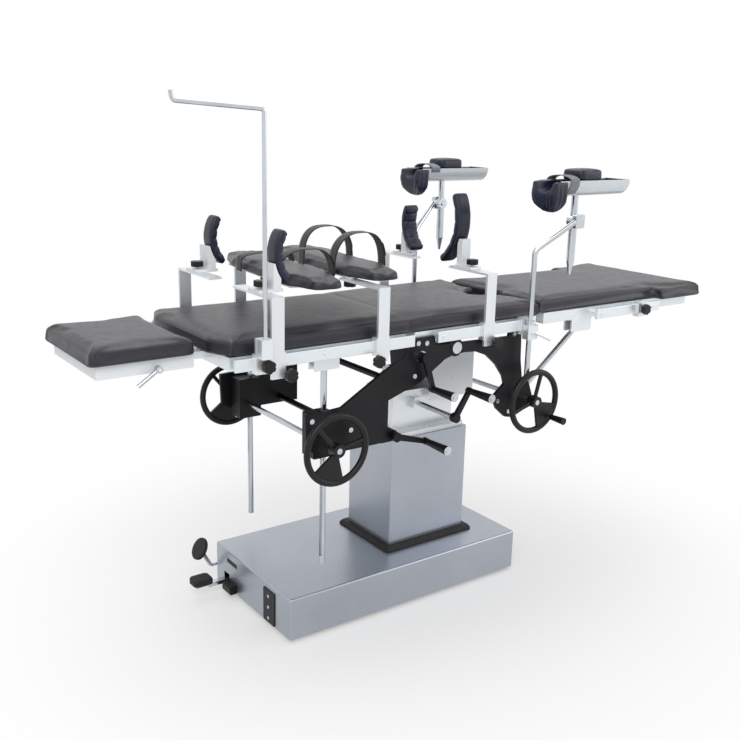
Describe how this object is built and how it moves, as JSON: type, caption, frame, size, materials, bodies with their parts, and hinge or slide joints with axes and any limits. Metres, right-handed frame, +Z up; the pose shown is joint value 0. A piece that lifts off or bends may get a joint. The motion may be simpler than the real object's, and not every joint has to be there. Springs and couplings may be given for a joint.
{
  "type": "operating table",
  "caption": "Side-operated operating table with folding head, back and leg sections, tilting column head, rack drives, armboards, shoulder, side and leg supports and a screen rod.",
  "frame": {"origin": "on the floor below the axis of the lifting column", "axes": "+X along the table to the foot end, +Y across it to the far side, +Z up"},
  "size_m": [2.14, 0.7584, 1.463],
  "materials": {
    "steel": "brushed",
    "pad": "satin",
    "black": "satin",
    "white": "satin",
    "alu": "satin",
    "chrome": "polished",
    "rubber": "matte",
    "plastic": "matte",
    "shell": "gloss",
    "webbing": "matte"
  },
  "bodies": {
    "stand": {"base_cover": "steel", "base_chassis": "black", "base_feet": "rubber", "base_fittings": "black", "column_gasket": "rubber", "column_shroud": "steel", "column_cap": "white", "hydraulic_cylinder": "alu"},
    "pump_pedal": {"pump_pedal": "rubber"},
    "release_pedal": {"release_pedal": "rubber"},
    "lift_column": {"inner_column": "white", "lift_ram": "chrome", "guide_strips": "plastic", "head_cover": "white"},
    "cradle": {"tilt_cradle": "black"},
    "table_body": {"side_frames": "black", "cross_shafts": "black", "seat_frame": "alu", "seat_rails": "alu", "seat_cushion": "pad", "fold_strip": "pad", "seat_posts": "chrome"},
    "back_section": {"back_frame": "alu", "back_rails": "alu", "back_cushion": "pad", "back_posts": "chrome"},
    "head_section": {"head_frame": "white", "head_cushion": "pad"},
    "leg_section": {"leg_frame": "alu", "leg_rails": "alu", "leg_cushion": "pad", "leg_rail_clamp": "black"},
    "back_drive": {"back_drive_shaft": "chrome", "back_handwheels": "black"},
    "back_gearbox": {"back_gearboxes": "black"},
    "back_rack": {"back_racks": "chrome"},
    "leg_drive": {"leg_drive_shaft": "chrome", "leg_handwheel": "black"},
    "leg_gearbox": {"leg_gearboxes": "black"},
    "leg_rack": {"leg_racks": "chrome"},
    "lock_crank": {"lock_crank": "black"},
    "roll_crank": {"roll_crank": "black"},
    "tilt_crank": {"tilt_crank": "black"},
    "screen": {"screen_rod": "chrome"},
    "head_lever": {"head_lever": "chrome"},
    "shoulder_near": {"shoulder_pad_near": "pad"},
    "shoulder_far": {"shoulder_pad_far": "pad"},
    "side_near": {"side_pad_near": "pad"},
    "side_far": {"side_pad_far": "pad"},
    "arm_near": {"armboard_near": "pad", "straps_near": "webbing"},
    "arm_far": {"armboard_far": "pad", "straps_far": "webbing"},
    "holder_near": {"leg_post_near": "chrome"},
    "holder_far": {"leg_post_far": "chrome"},
    "boot_near": {"boot_near": "shell", "boot_pads_near": "pad"},
    "boot_far": {"boot_far": "shell", "boot_pads_far": "pad"}
  },
  "joints": [
    {"name": "pump_press", "type": "hinge", "parent": "stand", "child": "pump_pedal", "pos_m": [-0.5, 0.154, 0.036], "axis": [0, -1, 0], "range_deg": [0, 8], "stiffness_Nm_per_rad": 14, "springref_deg": -17.19},
    {"name": "release_press", "type": "hinge", "parent": "stand", "child": "release_pedal", "pos_m": [-0.5, 0.224, 0.062], "axis": [0, -1, 0], "range_deg": [0, 12], "stiffness_Nm_per_rad": 10, "springref_deg": -17.19},
    {"name": "lift", "type": "slide", "parent": "stand", "child": "lift_column", "axis": [0, 0, 1], "range_m": [0, 0.25]},
    {"name": "side_tilt", "type": "hinge", "parent": "lift_column", "child": "cradle", "pos_m": [0, 0, 0.655], "axis": [1, 0, 0], "range_deg": [-15, 15]},
    {"name": "length_tilt", "type": "hinge", "parent": "cradle", "child": "table_body", "pos_m": [-0.03, 0, 0.786], "axis": [0, -1, 0], "range_deg": [-18, 12]},
    {"name": "back_fold", "type": "hinge", "parent": "table_body", "child": "back_section", "pos_m": [-0.19, 0, 0.827], "axis": [0, 1, 0], "range_deg": [-10, 45], "deforming": ["fold_strip"]},
    {"name": "head_fold", "type": "hinge", "parent": "back_section", "child": "head_section", "pos_m": [-0.786, 0, 0.835], "axis": [0, 1, 0], "range_deg": [-90, 25]},
    {"name": "leg_fold", "type": "hinge", "parent": "table_body", "child": "leg_section", "pos_m": [0.318, 0, 0.827], "axis": [0, 1, 0], "range_deg": [0, 90]},
    {"name": "back_drive_turn", "type": "hinge", "parent": "table_body", "child": "back_drive", "pos_m": [-0.471, 0, 0.577], "axis": [0, -1, 0], "range_deg": [-205, 910]},
    {"name": "back_gearbox_swing", "type": "hinge", "parent": "table_body", "child": "back_gearbox", "pos_m": [-0.471, 0, 0.577], "axis": [0, 1, 0], "range_deg": [-2, 6]},
    {"name": "back_rack_slide", "type": "slide", "parent": "back_gearbox", "child": "back_rack", "axis": [0, 0, 1], "range_m": [-0.05, 0.21]},
    {"name": "leg_drive_turn", "type": "hinge", "parent": "table_body", "child": "leg_drive", "pos_m": [0.244, 0, 0.596], "axis": [0, 1, 0], "range_deg": [-5, 1330]},
    {"name": "leg_gearbox_swing", "type": "hinge", "parent": "table_body", "child": "leg_gearbox", "pos_m": [0.244, 0, 0.596], "axis": [0, 1, 0], "range_deg": [-1, 14]},
    {"name": "leg_rack_slide", "type": "slide", "parent": "leg_gearbox", "child": "leg_rack", "axis": [-0.7848, 0, -0.6198], "range_m": [-0.001, 0.3]},
    {"name": "lock_crank_turn", "type": "hinge", "parent": "table_body", "child": "lock_crank", "pos_m": [-0.246, -0.22, 0.56], "axis": [0, 1, 0], "range_deg": [0, 90]},
    {"name": "roll_crank_turn", "type": "hinge", "parent": "lift_column", "child": "roll_crank", "pos_m": [-0.034, -0.08, 0.58], "axis": [0, 1, 0], "range_deg": [-300, 300]},
    {"name": "tilt_crank_turn", "type": "hinge", "parent": "table_body", "child": "tilt_crank", "pos_m": [-0.162, -0.25, 0.777], "axis": [0, 1, 0], "range_deg": [-330, 220]},
    {"name": "head_lever_turn", "type": "hinge", "parent": "head_section", "child": "head_lever", "pos_m": [-0.896, -0.165, 0.821], "axis": [0, 1, 0], "range_deg": [-30, 40]},
    {"name": "screen_turn", "type": "hinge", "parent": "back_section", "child": "screen", "pos_m": [-0.672, -0.284, 0.87], "axis": [0, 0, 1], "range_deg": [-120, 120]},
    {"name": "shoulder_near_slide", "type": "slide", "parent": "back_section", "child": "shoulder_near", "axis": [0, 1, 0], "range_m": [-0.05, 0.06]},
    {"name": "shoulder_far_slide", "type": "slide", "parent": "back_section", "child": "shoulder_far", "axis": [0, -1, 0], "range_m": [-0.05, 0.06]},
    {"name": "side_near_slide", "type": "slide", "parent": "table_body", "child": "side_near", "axis": [0, 1, 0], "range_m": [-0.06, 0.025]},
    {"name": "side_far_slide", "type": "slide", "parent": "table_body", "child": "side_far", "axis": [0, -1, 0], "range_m": [-0.06, 0.025]},
    {"name": "arm_near_turn", "type": "hinge", "parent": "back_section", "child": "arm_near", "pos_m": [-0.305, -0.105, 0.985], "axis": [0, 0, 1], "range_deg": [-18, 3]},
    {"name": "arm_far_turn", "type": "hinge", "parent": "back_section", "child": "arm_far", "pos_m": [-0.449, 0.105, 0.985], "axis": [0, 0, 1], "range_deg": [0, 6]},
    {"name": "holder_near_turn", "type": "hinge", "parent": "table_body", "child": "holder_near", "pos_m": [0.225, -0.28, 0.811], "axis": [0, 0, 1], "range_deg": [-40, 30]},
    {"name": "holder_far_turn", "type": "hinge", "parent": "table_body", "child": "holder_far", "pos_m": [0.225, 0.28, 0.811], "axis": [0, 0, -1], "range_deg": [-40, 30]},
    {"name": "boot_near_pitch", "type": "hinge", "parent": "holder_near", "child": "boot_near", "pos_m": [0.35, -0.31, 1.135], "axis": [0, 1, 0], "range_deg": [-35, 12]},
    {"name": "boot_far_pitch", "type": "hinge", "parent": "holder_far", "child": "boot_far", "pos_m": [0.35, 0.31, 1.135], "axis": [0, 1, 0], "range_deg": [-35, 12]}
  ],
  "couplings": [
    {"joint": "back_drive_turn", "follows": "back_fold", "ratio": 20.035},
    {"joint": "back_gearbox_swing", "follows": "back_fold", "ratio": 0.10892},
    {"joint": "back_rack_slide", "follows": "back_fold", "m_per_rad": 0.26187},
    {"joint": "leg_drive_turn", "follows": "leg_fold", "ratio": 14.578},
    {"joint": "leg_gearbox_swing", "follows": "leg_fold", "ratio": 0.12457},
    {"joint": "leg_rack_slide", "follows": "leg_fold", "m_per_rad": 0.1879},
    {"joint": "roll_crank_turn", "follows": "side_tilt", "ratio": 18},
    {"joint": "tilt_crank_turn", "follows": "length_tilt", "ratio": 18}
  ]
}
